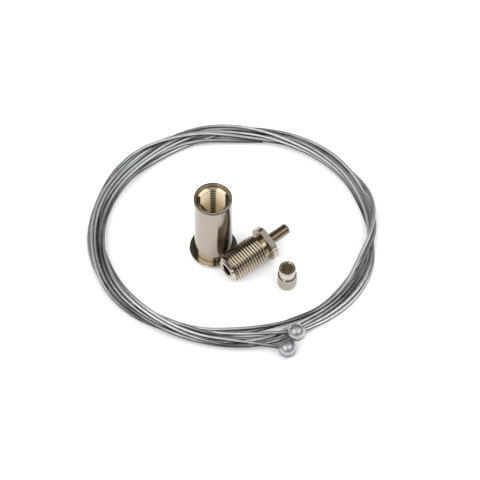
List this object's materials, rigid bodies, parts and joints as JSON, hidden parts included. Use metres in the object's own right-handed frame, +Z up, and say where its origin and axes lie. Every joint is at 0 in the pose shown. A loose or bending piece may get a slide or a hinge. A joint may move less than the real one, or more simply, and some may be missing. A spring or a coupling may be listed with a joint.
{
  "type": "wire rope hanging kit",
  "caption": "Wire-rope hanging kit laid out flat: coiled steel ropes with ball ends, a flanged threaded sleeve, its threaded plug with a stud, and a small stepped bush.",
  "frame": {"origin": "on the table, under the middle of the whole kit's bounding box", "axes": "+Z up from the table, +X along the coil's longer way, to the right in the picture; +Y away from the picture's viewer"},
  "size_m": [0.0988, 0.094, 0.03],
  "materials": {
    "nickel_plate": "bright nickel plate on turned brass",
    "rope_wire": "galvanised strand, dull grey with bright wires",
    "ball_metal": "satin, pressed on the rope"
  },
  "bodies": {
    "wire_coil": {"rope_a": "rope_wire", "rope_b": "rope_wire", "ball_a": "ball_metal", "ball_b": "ball_metal"},
    "sleeve": {"sleeve": "nickel_plate"},
    "plug": {"plug": "nickel_plate"},
    "bush": {"bush": "nickel_plate"}
  },
  "joints": [
    {"name": "sleeve_lift", "type": "slide", "parent": "wire_coil", "child": "sleeve", "axis": [-0.4378, 0.5552, 0.7072], "range_m": [0, 0.04]},
    {"name": "plug_lift", "type": "slide", "parent": "wire_coil", "child": "plug", "axis": [0, 0, 1], "range_m": [0, 0.05]},
    {"name": "bush_lift", "type": "slide", "parent": "wire_coil", "child": "bush", "axis": [0, 0, 1], "range_m": [0, 0.05]}
  ]
}
